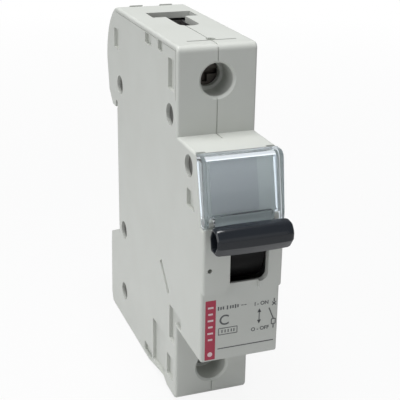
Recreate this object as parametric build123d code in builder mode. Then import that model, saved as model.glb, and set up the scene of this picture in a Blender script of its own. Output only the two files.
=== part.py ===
"""One-pole circuit breaker for a 35 mm rail.

Frame: X is the module width, Y is the depth (the toggle faces -Y, the rail is at y = 0), Z is up.
The origin is the centre of the rail seat. Lengths are in millimetres.
"""

from build123d import *
from math import cos, radians, sin
import os

# ---- overall sizes ----
module_width = 17.7
body_top = 41.5
body_bottom = 42.5
nose_half_height = 22.5
shoulder_depth = 46.5
panel_depth = 62.3
cheek_proud = 0.9
parting_groove = 0.25
seam_front = 50.0
edge_round = 0.6
shoulder_round = 1.4
wall = 1.5
side_wall = 1.5
half_width = module_width / 2
room = half_width - side_wall
cheek_depth = panel_depth + cheek_proud

# ---- rail seat and jaws ----
jaw_depth = 8.8
seat_top = 16.2
seat_bottom = 16.0
slot_reach = 1.75
lip_relief = 0.2
rail_lip = 1.35
claw_half_width = 5.4
claw_front = 1.4
claw_back = 5.0
claw_tip = 16.5
claw_head_height = 3.4
claw_head_front = -0.6
claw_proud = 0.8
claw_slot_half_width = 2.2
claw_slot_depth = 1.0

# ---- clearances ----
slide_gap = 0.15
turn_gap = 0.06
seat_gap = 0.2
contact_gap = 0.06

# ---- toggle ----
toggle_y = -54.5
toggle_z = 1.0
drum_radius = 7.6
handle_half_width = 8.2
handle_round = 0.8
handle_bevel = 0.45
slot_left = -2.9
slot_right = 5.6
slot_bottom = -4.9
slot_round = 1.8
cheek_foot = -6.5
tongue_round = 2.2
cheek_hole_x = -7.33
cheek_hole_z = -1.04
cheek_hole_radius = 0.5
cheek_hole_depth = 1.4
toggle_pin_radius = 1.2
hub_radius = 2.0
window_foot = 8.0

# ---- linkage ----
carrier_y = -34.5
carrier_z = -6.0
carrier_pin_radius = 0.9
carrier_hub_radius = 2.0
crank_radius = 3.4
crank_angle = -35.16
carrier_crank_y = -3.5
carrier_crank_z = -0.13
link_pin_radius = 0.7
open_pivot_gap = 0.42
link_thickness = 1.2

# ---- contacts ----
arm_length = 14.0
arm_half_width = 2.0
arm_thickness = 1.2
contact_radius = 1.6
contact_height = 0.8
fixed_strip_thickness = 1.2

# ---- terminals ----
screw_height = 34.0
access_radius = 3.6
access_rim = 0.5
screw_head_radius = 3.2
screw_head_height = 2.6
screw_head_front = 38.6
screw_shank_radius = 2.45
drive_half_width = 0.6
drive_reach = 2.2
drive_depth = 1.5
cage_half_width = 6.2
cage_wall = 1.5
cage_low = 28.5
cage_high = 39.4
cage_front = 24.6
cage_back = 8.0
tab_front = 17.0
tab_back = 15.8
plate_low = 26.2
plate_high = 27.4

# ---- cable entries ----
entry_centre = 1.3
entry_wide = 11.0
entry_narrow = 4.8
entry_back = 9.5
entry_step = 15.4
entry_front = 26.4
entry_round = 2.1

# ---- solenoid ----
coil_z = 15.0
coil_front = 31.0
coil_back = 13.0
core_radius = 2.5
tube_radius = 3.3
wire_radius = 0.85
winding_radius = tube_radius + wire_radius + 0.1
flange_radius = 6.2
flange_thickness = 1.0
striker_radius = 0.8
strike_gap = 0.6
yoke_thickness = 1.2

# ---- trip lever ----
trip_y = -39.8
trip_z = 8.5
trip_pin_radius = 0.8
trip_left = -6.8
trip_right = -4.6
trip_bar_right = 1.6

# ---- arc chamber ----
plate_count = 9
arc_plate_thickness = 1.0
arc_front = 28.0
arc_back = 8.4
arc_top = 9.6
arc_bottom = 24.8
arc_half_width = 5.9
cheek_thickness = 1.0

# ---- label window ----
window_top_depth = 60.4
window_seat_top = 57.8
window_seat_foot = 61.3
window_wall = 1.2
window_half_width = 8.7
barrel_radius = 0.95
barrel_y = -62.15
barrel_gap = 0.15
barrel_z = window_foot + barrel_radius + barrel_gap
peg_radius = 0.55
lug_radius = 0.85
lug_inner = 6.6
lug_outer = 7.6
lug_neck = 0.4
snap_notch = (6.6, 8.6)
snap_notch_depth = 0.8

# ---- rivets, along X ----
rivet_radius = 1.2
rivet_head_radius = 2.1
rivet_head_height = 0.35
rivet_sink = 1.1
pocket_depth = 0.8
rim_line_inset = 0.9
rim_line_width = 0.25
rim_line_depth = 0.15
rim_line_foot = 30.0

# ---- slit and tie hole in the top ----
slit_left = -5.3
slit_right = 5.7
slit_front = 42.35
slit_width = 0.5
slit_depth = 1.2
tie_hole_x = 0.4
tie_hole_radius = 1.0
rivet_places = [(-54.0, 18.7), (-2.9, 22.75), (-4.6, -15.6), (-41.8, 26.1), (-4.2, -33.5)]

os.makedirs("parts", exist_ok=True)


def polar(radius, degrees):
    """A (y, z) step of the given length and angle."""
    return radius * cos(radians(degrees)), radius * sin(radians(degrees))


def side_plane(x):
    """The Y-Z plane at a place along the width."""
    return Plane.YZ.offset(x)


def front_plane(depth):
    """The X-Z plane at a depth in front of the rail seat, facing -Y."""
    return Plane.XZ.offset(depth)


def finish(block, label):
    """Name a finished piece and write it."""
    block.part.label = label
    export_step(block.part, f"parts/{label}.step")


def side_profile(points, x, rounding=0.0):
    """A closed (y, z) outline as a face standing at x."""
    with BuildSketch(side_plane(x)) as profile:
        with BuildLine():
            FilletPolyline(*points, radius=rounding, close=True)
        make_face()
    return profile.sketch


def slab(points, x0, x1, rounding=0.0, mode=Mode.ADD):
    """Extrude a closed (y, z) outline from x0 to x1, in the current part."""
    extrude(side_profile(points, x0, rounding), amount=x1 - x0, dir=(1, 0, 0), mode=mode)


def rod(y, z, radius, x0, x1, mode=Mode.ADD):
    """A round bar, or a round hole, along X in the current part."""
    with BuildSketch(side_plane(x0)) as profile:
        with Locations((y, z)):
            Circle(radius)
    extrude(profile.sketch, amount=x1 - x0, dir=(1, 0, 0), mode=mode)


def rod_y(x, z, radius, depth0, depth1, mode=Mode.ADD):
    """A round bar, or a round hole, along Y between two depths in the current part."""
    with BuildSketch(front_plane(depth0)) as profile:
        with Locations((x, z)):
            Circle(radius)
    extrude(profile.sketch, amount=depth1 - depth0, dir=(0, -1, 0), mode=mode)


def block(x0, x1, y0, y1, z0, z1, mode=Mode.ADD):
    """A straight-sided block in the current part."""
    with BuildSketch(Plane.XY.offset(z0)) as profile:
        with Locations(((x0 + x1) / 2, (y0 + y1) / 2)):
            Rectangle(x1 - x0, y1 - y0)
    extrude(profile.sketch, amount=z1 - z0, dir=(0, 0, 1), mode=mode)


# ---- casing ----
jaw_corner_z = 27.1
jaw_round_y = -0.4


def casing_outline(x, inset=0.0):
    """The casing's side outline as a face at x: nose, shoulders, rail jaws and feet."""
    with BuildSketch(side_plane(x)) as profile:
        with BuildLine():
            rear = ThreePointArc((jaw_depth, jaw_corner_z), (5.6, body_top - 4.6), (jaw_round_y, body_top))
            Polyline(
                rear @ 1,
                (-shoulder_depth, body_top),
                (-shoulder_depth, nose_half_height),
                (-window_seat_top, nose_half_height),
                (-window_seat_foot, window_foot),
                (-cheek_depth, window_foot),
                (-cheek_depth, cheek_foot),
                (-panel_depth, cheek_foot),
                (-panel_depth, -nose_half_height),
                (-shoulder_depth, -nose_half_height),
                (-shoulder_depth, 1.0 - body_bottom),
                (-40.1, 1.0 - body_bottom),
                (-37.4, 2.1 - body_bottom),
                (-31.8, 1.2 - body_bottom),
                (-26.0, -body_bottom),
                (jaw_depth - 1.2, -body_bottom),
                (jaw_depth, 3.0 - body_bottom),
                (jaw_depth - 0.6, -24.0),
                (jaw_depth - 1.1, -20.7),
                (rail_lip, -seat_bottom - slot_reach),
                (-lip_relief, -seat_bottom - slot_reach),
                (-lip_relief, -seat_bottom),
                (0, -seat_bottom),
                (0, seat_top),
                (-lip_relief, seat_top),
                (-lip_relief, seat_top + slot_reach),
                (rail_lip, seat_top + slot_reach),
                (rail_lip, seat_top),
                (4.1, seat_top),
                (7.3, 19.3),
                rear @ 0,
            )
        make_face()
        if inset:
            offset(amount=-inset, kind=Kind.INTERSECTION, mode=Mode.REPLACE)
    return profile.sketch


def cavity_points():
    """The main hollow of the casing, in front of the rail seat."""
    front = shoulder_depth - wall
    nose = nose_half_height - wall
    return [
        (-wall, body_top - wall),
        (-front, body_top - wall),
        (-front, nose),
        (wall - window_seat_top + 0.2, nose),
        (wall - window_seat_foot, window_foot - 1.0),
        (wall - cheek_depth, window_foot - 1.0),
        (wall - cheek_depth, cheek_foot + 0.5),
        (wall - panel_depth, cheek_foot + 0.5),
        (wall - panel_depth, -nose),
        (-front, -nose),
        (-front, 3.6 - body_bottom),
        (-34.0, 3.6 - body_bottom),
        (-31.4, 2.8 - body_bottom),
        (-28.0, 2.5 - body_bottom),
        (-25.0, wall - body_bottom),
        (-wall, wall - body_bottom),
    ]


side_pockets = [
    [(-2.7, 31.4), (1.7, 31.4), (1.7, 36.4), (-2.7, 36.4)],
    [(-28.8, 37.8), (-24.3, 37.8), (-24.3, 40.2), (-28.8, 40.2)],
    [(-36.9, 38.2), (-33.6, 38.2), (-33.6, 40.4), (-36.9, 40.4)],
    [(-44.7, 31.6), (-40.7, 31.6), (-40.7, 38.2), (-44.7, 38.2)],
    [(-58.0, 9.9), (-53.0, 9.9), (-53.0, 13.8), (-56.0, 13.8)],
    [(-36.0, -10.0), (-34.8, -11.0), (-40.6, -16.9), (-41.7, -15.8)],
    [(-28.4, -41.3), (-22.4, -41.3), (-22.4, -38.6), (-28.4, -38.6)],
    [(-38.8, -40.0), (-29.5, -40.0), (-29.5, -28.5), (-38.8, -28.5)],
    [(-50.0, -21.6), (-50.0, -18.6), (-42.0, -18.6), (-42.0, -27.4), (-45.6, -27.4), (-45.6, -21.6)],
    [(-44.5, -37.7), (-40.3, -37.7), (-40.3, -32.0), (-44.5, -32.0)],
]


def slot_face():
    """The toggle slot seen from the front, one lower corner rounded, as a face in front of the cheeks."""
    corner = slot_right - slot_round
    with BuildSketch(front_plane(cheek_depth + 1)) as slot:
        with BuildLine():
            Polyline(
                (slot_right, slot_bottom + slot_round), (slot_right, window_foot), (slot_left, window_foot),
                (slot_left, slot_bottom), (corner, slot_bottom),
            )
            RadiusArc((corner, slot_bottom), (slot_right, slot_bottom + slot_round), -slot_round)
        make_face()
    return slot.sketch


def below_slot_face():
    """The strip under the slot where the cheeks stop, left of it the left cheek's rounded end."""
    tongue = slot_left - tongue_round
    corner = slot_right - slot_round
    with BuildSketch(front_plane(panel_depth)) as strip:
        with BuildLine():
            Polyline(
                (slot_left, cheek_foot + tongue_round), (corner, cheek_foot + tongue_round),
                (corner, cheek_foot - 1), (tongue, cheek_foot - 1), (tongue, cheek_foot),
            )
            RadiusArc((tongue, cheek_foot), (slot_left, cheek_foot + tongue_round), -tongue_round)
        make_face()
    return strip.sketch


def entry_face(z):
    """The T-shaped cable entry as a face at z, its stem's end rounded."""
    stem = entry_narrow / 2
    with BuildSketch(Plane.XY.offset(z)) as entry:
        with Locations((entry_centre, -(entry_step + entry_back) / 2)):
            Rectangle(entry_wide, entry_step - entry_back)
        with BuildLine():
            FilletPolyline(
                (entry_centre - stem, -entry_step + 1), (entry_centre - stem, -entry_front),
                (entry_centre + stem, -entry_front), (entry_centre + stem, -entry_step + 1),
                radius=[entry_round, entry_round],
            )
            Line((entry_centre + stem, -entry_step + 1), (entry_centre - stem, -entry_step + 1))
        make_face()
    return entry.sketch


def rim_line_points():
    """A thin L-shaped (y, z) outline inside the top and front edges of the upper shoulder."""
    top = body_top - rim_line_inset
    front = rim_line_inset - shoulder_depth
    return [
        (jaw_round_y, top), (front, top), (front, rim_line_foot), (front + rim_line_width, rim_line_foot),
        (front + rim_line_width, top - rim_line_width), (jaw_round_y, top - rim_line_width),
    ]


def hidden_seam_face():
    """The side area where the halves meet without a groove: the nose's front and the rail side."""
    with BuildSketch(side_plane(0)) as area:
        with Locations((-seam_front - 10, 0)):
            Rectangle(20, 2 * nose_half_height + 2)
        with Locations((10 - entry_back, 0)):
            Rectangle(20, 3 * body_bottom)
    return area.sketch


def casing_half(side):
    """One moulded half, from the parting plane out to its side wall (side is -1 left, 1 right)."""
    outer = side * half_width
    with BuildPart() as half:
        extrude(casing_outline(0), amount=outer, dir=(1, 0, 0))
        corners = [e for e in half.edges().filter_by(Axis.X) if abs(e.center().Y + shoulder_depth) < 0.1]
        corners.sort(key=lambda e: e.center().Z)
        fillet([corners[0], corners[-1]], radius=shoulder_round)
        rim = half.faces().sort_by(Axis.X)[0 if side < 0 else -1].edges()
        fillet([e for e in rim if e.center().Y < -2.5], radius=edge_round)
        slab(cavity_points(), 0, side * room, rounding=0.5, mode=Mode.SUBTRACT)
        # walls that stand between the hollow and the parting plane
        for sign in (1, -1):
            mid = sign * screw_height
            inner = side * (room + 0.1)
            for y0, y1 in ((0.2 - shoulder_depth, -screw_head_front - seat_gap), (-35.8, -34.4)):
                block(min(0, inner), max(0, inner), y0, y1, mid - 5.0, mid + 5.0)
            rod_y(0, mid, access_radius, shoulder_depth + 1, 40.2, mode=Mode.SUBTRACT)
            rod_y(0, mid, screw_head_radius - 0.35, 41.0, screw_head_front - 1, mode=Mode.SUBTRACT)
            rod_y(0, mid, screw_shank_radius + 0.3, 37.0, 33.0, mode=Mode.SUBTRACT)
            with BuildSketch(front_plane(shoulder_depth)) as rim_sketch:
                with Locations((0, mid)):
                    Circle(access_radius + access_rim)
            extrude(rim_sketch.sketch, amount=-access_rim, taper=44, mode=Mode.SUBTRACT)
        for y, z in rivet_places:
            rod(y, z, rivet_radius + 1.0, 0, side * (room + 0.1))
            rod(y, z, rivet_radius + 0.02, -side, side * (half_width + 1), mode=Mode.SUBTRACT)
            rod(y, z, rivet_head_radius + 0.3, outer, outer - side * rivet_sink, mode=Mode.SUBTRACT)
        for points in side_pockets:
            slab(points, outer, outer - side * pocket_depth, rounding=0.35, mode=Mode.SUBTRACT)
        # bearings for the fixed pins
        for y, z, radius in (
            (toggle_y, toggle_z, toggle_pin_radius),
            (carrier_y, carrier_z, carrier_pin_radius),
            (trip_y, trip_z, trip_pin_radius),
        ):
            rod(y, z, radius + 0.02, side * (room - 1), side * (room + 0.5), mode=Mode.SUBTRACT)
        # toggle slot, cable entries and claw ways
        extrude(slot_face(), amount=-(panel_depth - shoulder_depth), dir=(0, -1, 0), mode=Mode.SUBTRACT)
        extrude(below_slot_face(), amount=cheek_proud + 1, dir=(0, -1, 0), mode=Mode.SUBTRACT)
        if side < 0:
            rod_y(
                cheek_hole_x, cheek_hole_z, cheek_hole_radius,
                cheek_depth - cheek_hole_depth, cheek_depth + 1, mode=Mode.SUBTRACT,
            )
        for z0, z1 in ((body_top - wall - 1, body_top + 1), (-body_bottom - 1, wall + 1 - body_bottom)):
            extrude(entry_face(z0), amount=z1 - z0, dir=(0, 0, 1), mode=Mode.SUBTRACT)
        reach = claw_half_width + slide_gap
        for z0, z1 in ((seat_top - 1, body_top + 1), (-body_bottom - 1, 1 - seat_bottom)):
            block(-reach, reach, claw_front - slide_gap, claw_back + slide_gap, z0, z1, mode=Mode.SUBTRACT)
        head = claw_head_height + slide_gap
        for z0, z1 in ((body_top - head, body_top + 1), (-body_bottom - 1, head - body_bottom)):
            block(
                -reach, reach, claw_head_front - slide_gap, claw_back + slide_gap, z0, z1,
                mode=Mode.SUBTRACT,
            )
        # lug that carries the label window's peg
        lug0, lug1 = sorted((side * lug_inner, side * lug_outer))
        slab(
            [
                (barrel_y, barrel_z + lug_neck), (-window_seat_foot + 1.0, barrel_z + lug_neck),
                (-window_seat_foot + 1.0, barrel_z - lug_neck), (barrel_y, barrel_z - lug_neck),
            ],
            lug0, lug1,
        )
        rod(barrel_y, barrel_z, lug_radius, lug0, lug1)
        rod(barrel_y, barrel_z, peg_radius + turn_gap, lug0, lug1, mode=Mode.SUBTRACT)
        # slit and tie hole in the top face, and the snap notches over the window
        slit_floor = body_top - slit_depth
        block(
            slit_left, slit_right, -slit_front, slit_width - slit_front,
            slit_floor, body_top + 1, mode=Mode.SUBTRACT,
        )
        with BuildSketch(Plane.XY.offset(slit_floor)) as tie_hole:
            with Locations((tie_hole_x, slit_width - slit_front + tie_hole_radius)):
                Circle(tie_hole_radius)
            with Locations((tie_hole_x, slit_width - slit_front + tie_hole_radius / 2)):
                Rectangle(2 * tie_hole_radius, tie_hole_radius)
        extrude(tie_hole.sketch, amount=slit_depth + 1, dir=(0, 0, 1), mode=Mode.SUBTRACT)
        notch0, notch1 = sorted(side * x for x in snap_notch)
        block(
            notch0, notch1, -window_seat_top - 1, snap_notch_depth - window_seat_top,
            nose_half_height - snap_notch_depth, nose_half_height + 1, mode=Mode.SUBTRACT,
        )
        # line that runs round the side wall's top rim
        slab(rim_line_points(), outer, outer - side * rim_line_depth, mode=Mode.SUBTRACT)
        # groove that shows where the halves meet, over and under the nose
        seam = casing_outline(0) - casing_outline(0, inset=parting_groove) - hidden_seam_face()
        extrude(seam, amount=side * parting_groove / 2, dir=(1, 0, 0), mode=Mode.SUBTRACT)
    return half


casing_left = casing_half(-1)
finish(casing_left, "casing_left")
casing_right = casing_half(1)
finish(casing_right, "casing_right")

with BuildPart() as casing_rivets:
    for place in rivet_places:
        head_face = half_width - rivet_sink
        rod(*place, rivet_radius, -head_face, head_face)
        for way in (-1, 1):
            rod(*place, rivet_head_radius, way * head_face, way * (head_face + rivet_head_height))
finish(casing_rivets, "casing_rivets")


# ---- rail claws ----
def rail_claw(way, edge, proud, label):
    """A sliding rail claw: way is 1 for the upper one and -1 below, and its head stands proud of the edge."""
    tip = way * claw_tip
    top = way * (edge + proud)
    with BuildPart() as claw:
        slab(
            [
                (claw_front, tip), (claw_front + 1.2, tip), (claw_back, tip + way * 2.2),
                (claw_back, top - way * 4.6), (claw_back - 2.5, top - way * 2.2),
                (claw_head_front, top - way * 0.5),
                (claw_head_front, way * (edge - claw_head_height)),
                (claw_front, way * (edge - claw_head_height)),
            ],
            -claw_half_width, claw_half_width,
        )
        # slot for a screwdriver's tip
        z0, z1 = sorted((top - way * 2.0, top + way))
        block(
            -claw_slot_half_width, claw_slot_half_width, claw_head_front - 1,
            claw_head_front + claw_slot_depth, z0, z1, mode=Mode.SUBTRACT,
        )
    finish(claw, label)


rail_claw(1, body_top, claw_proud, "upper_rail_claw")
rail_claw(-1, body_bottom, -seat_gap, "lower_rail_claw")

# ---- label window ----
with BuildPart() as label_window:
    front_y = -cheek_depth
    slab(
        [
            (-window_seat_top - seat_gap, nose_half_height),
            (-window_top_depth - 1.0, nose_half_height),
            (front_y, barrel_z + 1.0),
            (front_y, barrel_z - barrel_radius),
            (barrel_y + barrel_radius, barrel_z - barrel_radius),
            (-window_seat_foot + 0.1, barrel_z + 0.6),
        ],
        -window_half_width, window_half_width,
    )
    front_edges = [e for e in label_window.edges().filter_by(Axis.X) if e.center().Y < -window_top_depth]
    front_edges.sort(key=lambda e: e.center().Z)
    fillet(front_edges[-1], radius=1.6)
    fillet(label_window.edges().filter_by(Axis.X).sort_by(Axis.Z)[0:2], radius=barrel_radius - 0.1)
    slab(
        [
            (-window_seat_top + 1.0, nose_half_height - window_wall),
            (-window_top_depth + 0.3, nose_half_height - window_wall),
            (front_y + window_wall, barrel_z + 1.2),
            (-window_seat_foot + 2.0, barrel_z + 1.2),
        ],
        window_wall - window_half_width, window_half_width - window_wall, mode=Mode.SUBTRACT,
    )
    for way in (-1, 1):
        x0, x1 = sorted((way * (lug_inner - slide_gap), way * (lug_outer + slide_gap)))
        block(x0, x1, front_y - 1, -window_seat_top, 0, barrel_z + 1.3, mode=Mode.SUBTRACT)
        rod(barrel_y, barrel_z, peg_radius, way * (lug_inner + 0.1), way * (window_half_width - 0.3))
finish(label_window, "label_window")

# ---- toggle ----
drum_left = slot_left + 0.35
drum_right = slot_right - 0.35
link_inner = drum_right + 0.3
link_outer = link_inner + link_thickness
crank_dy, crank_dz = polar(crank_radius, crank_angle)

with BuildPart() as toggle_lever:
    rod(toggle_y, toggle_z, drum_radius, drum_left, drum_right)
    rod(toggle_y, toggle_z, hub_radius, -room + 1.2, drum_left)
    slab(
        [
            (toggle_y - 3.0, toggle_z - 0.6), (-65.4, 4.9),
            (-66.6, 8.4), (toggle_y - 3.0, toggle_z + 5.2),
        ],
        drum_left, drum_right,
    )
    slab(
        [
            (-64.6, 7.2), (-66.2, 9.8), (-67.3, 10.2), (-68.8, 9.7),
            (-69.6, 8.0), (-69.4, 5.9), (-68.3, 4.3), (-66.2, 4.3),
        ],
        -handle_half_width, handle_half_width, rounding=handle_round,
    )
    chamfer(toggle_lever.faces().sort_by(Axis.X)[0].edges(), length=handle_bevel)
    chamfer(toggle_lever.faces().sort_by(Axis.X)[-1].edges(), length=handle_bevel)
    rod(toggle_y, toggle_z, toggle_pin_radius + turn_gap, -room, room, mode=Mode.SUBTRACT)
    rod(
        toggle_y + crank_dy, toggle_z + crank_dz, link_pin_radius + turn_gap,
        drum_right - 2.4, drum_right + 1, mode=Mode.SUBTRACT,
    )
finish(toggle_lever, "toggle_lever")

with BuildPart() as toggle_pin:
    rod(toggle_y, toggle_z, toggle_pin_radius, -room - 0.4, room + 0.4)
finish(toggle_pin, "toggle_pin")

# torsion spring round the hub, as touching turns with two legs
with BuildPart() as toggle_spring:
    spring_wire = 0.35
    turn_radius = hub_radius + spring_wire + 0.15
    first_turn = -room + 1.7
    for turn in range(3):
        with BuildSketch(Plane.XY.offset(toggle_z)) as wire_section:
            with Locations((first_turn + turn * 1.6 * spring_wire, toggle_y + turn_radius)):
                Circle(spring_wire)
        revolve(wire_section.sketch, axis=Axis((0, toggle_y, toggle_z), (1, 0, 0)))
    leg_x = first_turn + 1.6 * spring_wire
    with BuildSketch(Plane.XY.offset(toggle_z)) as leg_section:
        with Locations((leg_x, toggle_y + turn_radius)):
            Circle(spring_wire)
    extrude(leg_section.sketch, amount=8.0, dir=(0, 0, 1))
finish(toggle_spring, "toggle_spring")

# ---- link between toggle and contact carrier ----
crank_y = toggle_y + crank_dy
crank_z = toggle_z + crank_dz
fork_y = carrier_y + carrier_crank_y
fork_z = carrier_z + carrier_crank_z

with BuildPart() as link_rod:
    for y, z in ((crank_y, crank_z), (fork_y, fork_z)):
        rod(y, z, 1.35, link_inner, link_outer)
        rod(y, z, link_pin_radius, link_inner - 2.2, link_inner)
    slab(
        [
            (crank_y, crank_z + 0.9), (fork_y, fork_z + 0.9),
            (fork_y, fork_z - 0.9), (crank_y, crank_z - 0.9),
        ],
        link_inner, link_outer,
    )
finish(link_rod, "link_rod")

# ---- contact carrier and arm ----
carrier_half_width = link_inner - 0.3
arm_face = carrier_y + 0.6
with BuildPart() as contact_carrier:
    rod(carrier_y, carrier_z, carrier_hub_radius, -carrier_half_width + 1.0, carrier_half_width)
    slab(
        [
            (carrier_y, carrier_z + carrier_hub_radius), (fork_y - 0.6, fork_z + 1.9),
            (fork_y - 1.9, fork_z), (fork_y - 0.6, fork_z - 1.9), (carrier_y, carrier_z - carrier_hub_radius),
        ],
        carrier_half_width - 2.0, carrier_half_width,
    )
    block(
        -arm_half_width - 0.8, arm_half_width + 0.8,
        arm_face - arm_thickness - 1.0, arm_face, carrier_z - 6.0, carrier_z,
    )
    block(
        -arm_half_width, arm_half_width,
        arm_face - arm_thickness, arm_face + 3, carrier_z - 7.0, carrier_z - 1.6, mode=Mode.SUBTRACT,
    )
    rod(carrier_y, carrier_z, carrier_pin_radius + turn_gap, -room, room, mode=Mode.SUBTRACT)
    rod(fork_y, fork_z, link_pin_radius + open_pivot_gap, 0, room, mode=Mode.SUBTRACT)
finish(contact_carrier, "contact_carrier")

with BuildPart() as carrier_pin:
    rod(carrier_y, carrier_z, carrier_pin_radius, -room - 0.4, room + 0.4)
finish(carrier_pin, "carrier_pin")

arm_foot = carrier_z - arm_length
with BuildPart() as moving_contact_arm:
    block(
        -arm_half_width, arm_half_width,
        arm_face - arm_thickness, arm_face, arm_foot - 1.6, carrier_z - 1.6,
    )
finish(moving_contact_arm, "moving_contact_arm")

with BuildPart() as moving_contact_tip:
    rod_y(0, arm_foot, contact_radius, -arm_face - contact_height, -arm_face)
    fillet(moving_contact_tip.edges().sort_by(Axis.Y)[-1], radius=0.3)
finish(moving_contact_tip, "moving_contact_tip")

fixed_face = arm_face + contact_height + contact_gap
with BuildPart() as fixed_contact_tip:
    rod_y(0, arm_foot, contact_radius, -fixed_face - contact_height, -fixed_face)
    fillet(fixed_contact_tip.edges().sort_by(Axis.Y)[0], radius=0.3)
finish(fixed_contact_tip, "fixed_contact_tip")

strip_y = fixed_face + contact_height
coil_low = coil_z - flange_radius
with BuildPart() as fixed_contact_strip:
    slab(
        [
            (strip_y, coil_low - 1.4), (strip_y + fixed_strip_thickness, coil_low - 1.4),
            (strip_y + fixed_strip_thickness, -arc_bottom),
            (-arc_back - 1.0, -arc_bottom), (-arc_back - 1.0, -arc_bottom - 1.0),
            (strip_y, -arc_bottom - 1.0),
        ],
        -4.0, 4.0,
    )
finish(fixed_contact_strip, "fixed_contact_strip")

# ---- contact pressure spring, a coil that bears on the carrier's nose ----
with BuildPart() as contact_spring:
    for turn in range(4):
        with BuildSketch(Plane.XY.offset(carrier_z)) as wire_section:
            with Locations((-carrier_half_width + 0.6 - turn * 0.5, carrier_y + carrier_pin_radius + 0.55)):
                Circle(0.3)
        revolve(wire_section.sketch, axis=Axis((0, carrier_y, carrier_z), (1, 0, 0)))
finish(contact_spring, "contact_spring")

# ---- arc chamber ----
with BuildPart() as arc_plates:
    first_plate = -arc_front
    plate_pitch = (arc_front - arc_back - arc_plate_thickness) / (plate_count - 1)
    for index in range(plate_count):
        plate_y = first_plate + index * plate_pitch
        with BuildSketch(front_plane(-plate_y)) as plate_sketch:
            with BuildLine():
                Polyline(
                    (-arc_half_width, -arc_bottom + 0.3), (-arc_half_width, -arc_top),
                    (-2.6, -arc_top), (0.0, -arc_top - 5.5), (2.6, -arc_top),
                    (arc_half_width, -arc_top), (arc_half_width, -arc_bottom + 0.3), close=True,
                )
            make_face()
        extrude(plate_sketch.sketch, amount=arc_plate_thickness, dir=(0, 1, 0))
finish(arc_plates, "arc_plates")

for way, cheek_label in ((-1, "arc_cheek_left"), (1, "arc_cheek_right")):
    with BuildPart() as arc_cheek:
        x0, x1 = sorted((way * arc_half_width, way * (arc_half_width + cheek_thickness)))
        block(x0, x1, -arc_front - 0.4, -arc_back + 0.4, -arc_bottom + 0.1, -arc_top + 0.6)
    finish(arc_cheek, cheek_label)

# ---- solenoid ----
with BuildPart() as solenoid_bobbin:
    rod_y(0, coil_z, tube_radius, coil_back, coil_front)
    for depth in (coil_back, coil_front - flange_thickness):
        rod_y(0, coil_z, flange_radius, depth, depth + flange_thickness)
    rod_y(0, coil_z, core_radius + 0.08, coil_back - 1, coil_front - 1.6, mode=Mode.SUBTRACT)
    rod_y(0, coil_z, striker_radius + 0.08, coil_back, coil_front + 1, mode=Mode.SUBTRACT)
finish(solenoid_bobbin, "solenoid_bobbin")

winding_length = coil_front - coil_back - 2 * flange_thickness - 2 * wire_radius - 0.4
winding_turns = 7
with BuildPart() as solenoid_coil:
    winding_end = -(coil_back + flange_thickness + wire_radius + 0.2)
    with BuildLine() as winding_path:
        Helix(
            pitch=winding_length / winding_turns, height=winding_length, radius=winding_radius,
            center=(0, winding_end, coil_z), direction=(0, -1, 0),
        )
    with BuildSketch(Plane(origin=winding_path.line @ 0, z_dir=winding_path.line % 0)) as wire_section:
        Circle(wire_radius)
    sweep(wire_section.sketch, path=winding_path.line, is_frenet=True)
finish(solenoid_coil, "solenoid_coil")

yoke_front = coil_front + 0.05
yoke_half_width = 6.6
with BuildPart() as solenoid_yoke:
    slab(
        [
            (-yoke_front - yoke_thickness, coil_z + 5.0), (-yoke_front, coil_z + 5.0),
            (-yoke_front, coil_low - 0.1), (-coil_back + 0.05, coil_low - 0.1),
            (-coil_back + 0.05, coil_z + 5.0), (-coil_back + 0.05 + yoke_thickness, coil_z + 5.0),
            (-coil_back + 0.05 + yoke_thickness, coil_low - 0.1 - yoke_thickness),
            (-yoke_front - yoke_thickness, coil_low - 0.1 - yoke_thickness),
        ],
        -yoke_half_width, yoke_half_width,
    )
    rod_y(0, coil_z, striker_radius + 0.5, yoke_front - 1, yoke_front + 3, mode=Mode.SUBTRACT)
    rod_y(0, coil_z, core_radius + 0.4, coil_back - 3, coil_back + 1, mode=Mode.SUBTRACT)
finish(solenoid_yoke, "solenoid_yoke")

plunger_back = coil_back - 0.6
plunger_length = 8.5
striker_tip = coil_front + 4.6
with BuildPart() as solenoid_plunger:
    rod_y(0, coil_z, core_radius, plunger_back, plunger_back + plunger_length)
    rod_y(0, coil_z, striker_radius, plunger_back + plunger_length, striker_tip)
finish(solenoid_plunger, "solenoid_plunger")

with BuildPart() as plunger_spring:
    spring_start = -(plunger_back + plunger_length + 0.35)
    spring_length = coil_front - 1.6 - 0.35 + spring_start
    with BuildLine() as spring_path:
        Helix(
            pitch=spring_length / 5, height=spring_length, radius=1.6,
            center=(0, spring_start, coil_z), direction=(0, -1, 0),
        )
    with BuildSketch(Plane(origin=spring_path.line @ 0, z_dir=spring_path.line % 0)) as wire_section:
        Circle(0.25)
    sweep(wire_section.sketch, path=spring_path.line, is_frenet=True)
finish(plunger_spring, "plunger_spring")

# ---- trip lever ----
bar_face = striker_tip + strike_gap
with BuildPart() as trip_lever:
    rod(trip_y, trip_z, 1.9, trip_left, trip_right)
    slab(
        [
            (trip_y - 1.2, trip_z), (trip_y - 0.6, coil_z + 2.0),
            (-bar_face, coil_z + 2.0), (-bar_face, coil_z - 2.0), (trip_y + 1.4, trip_z),
        ],
        trip_left, trip_right,
    )
    block(trip_left, trip_bar_right, -bar_face - 1.4, -bar_face, coil_z - 1.6, coil_z + 1.6)
    slab(
        [
            (trip_y - 1.4, trip_z), (trip_y + 1.2, trip_z),
            (-41.2, -5.0), (-42.6, -5.0),
        ],
        trip_left, trip_right,
    )
    rod(trip_y, trip_z, trip_pin_radius + turn_gap, -room, room, mode=Mode.SUBTRACT)
finish(trip_lever, "trip_lever")

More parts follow.
